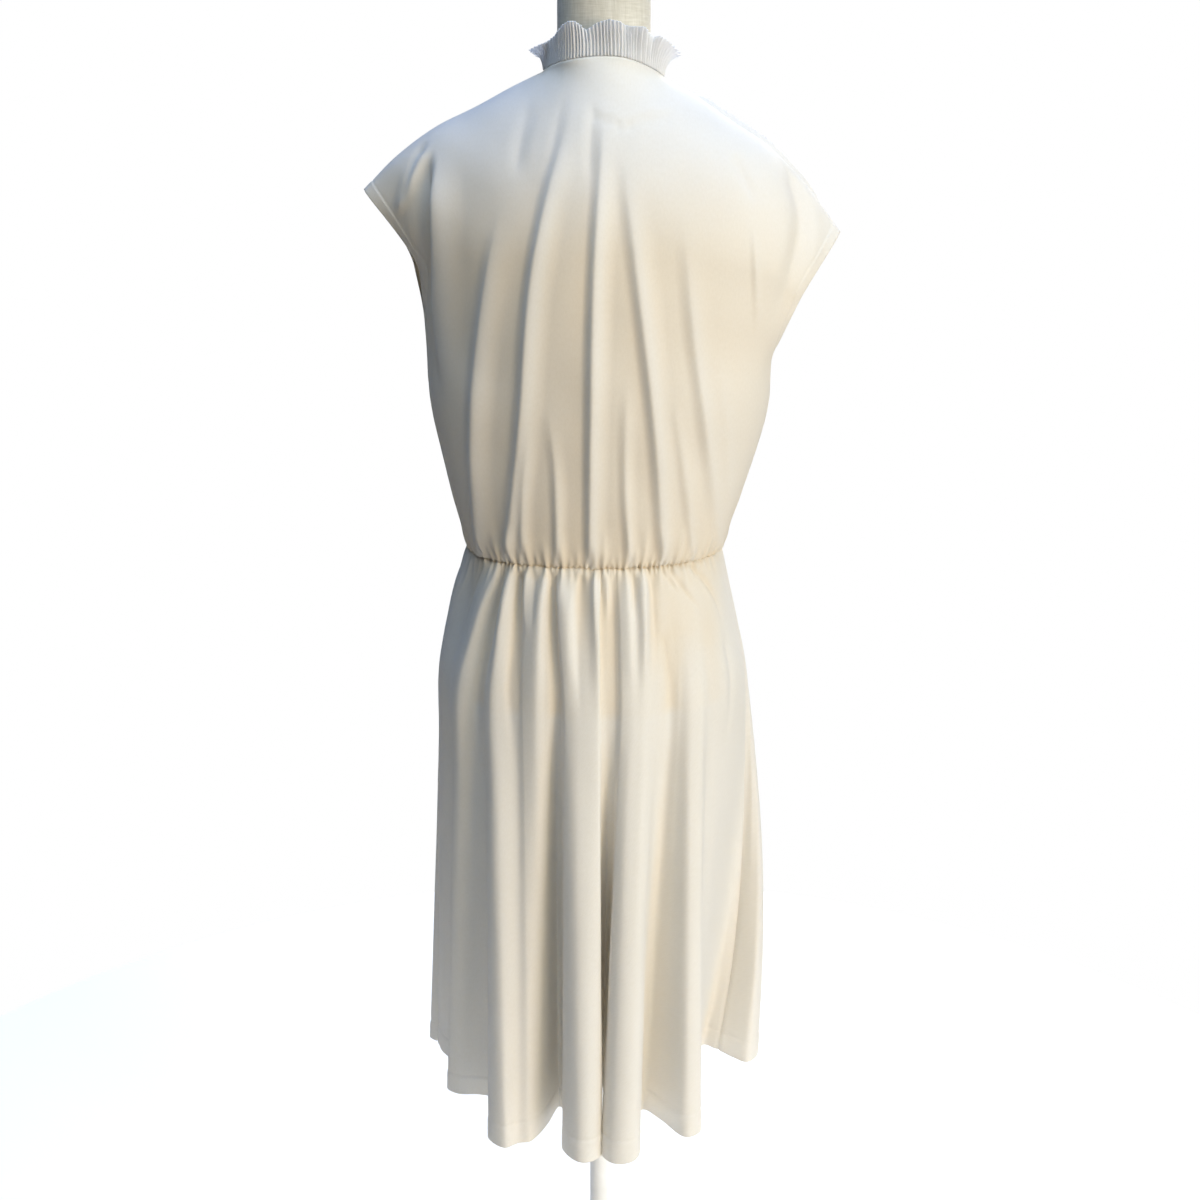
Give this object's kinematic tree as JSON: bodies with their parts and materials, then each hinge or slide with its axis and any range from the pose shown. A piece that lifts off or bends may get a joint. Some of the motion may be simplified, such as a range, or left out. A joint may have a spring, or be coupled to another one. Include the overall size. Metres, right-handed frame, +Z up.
{
  "type": "prairie dress on a dress form",
  "caption": "High-necked dress with cap sleeves, pleated ruffle collar, elasticated waist and full skirt, standing on a limbless dress form with a pole and round base.",
  "frame": {"origin": "middle of the underside of the round base, on the floor", "axes": "+Z up along the pole; the front of the dress faces -Y, its back +Y; +X is the wearer's left"},
  "size_m": [0.498, 0.416, 1.6873],
  "materials": {
    "dress_cloth": "ivory polyester crepe, soft sheen",
    "ruffle_cloth": "accordion-pleated ivory polyester",
    "elastic": "woven elastic",
    "button": "pearly ivory",
    "form_linen": "natural linen cover",
    "stand_paint": "off-white satin paint"
  },
  "bodies": {
    "root": {"bodice_back": "dress_cloth", "bodice_front_left": "dress_cloth", "bodice_front_right": "dress_cloth", "placket": "dress_cloth", "button_1": "button", "button_2": "button", "button_3": "button", "button_4": "button", "button_5": "button", "collar_ruffle": "ruffle_cloth", "waist_elastic": "elastic", "skirt_back": "dress_cloth", "skirt_front": "dress_cloth", "form_torso": "form_linen", "form_underside": "stand_paint", "form_neck_cap": "stand_paint", "stand_collar": "stand_paint", "stand_pole": "stand_paint", "stand_socket": "stand_paint", "stand_base": "stand_paint"}
  },
  "joints": []
}
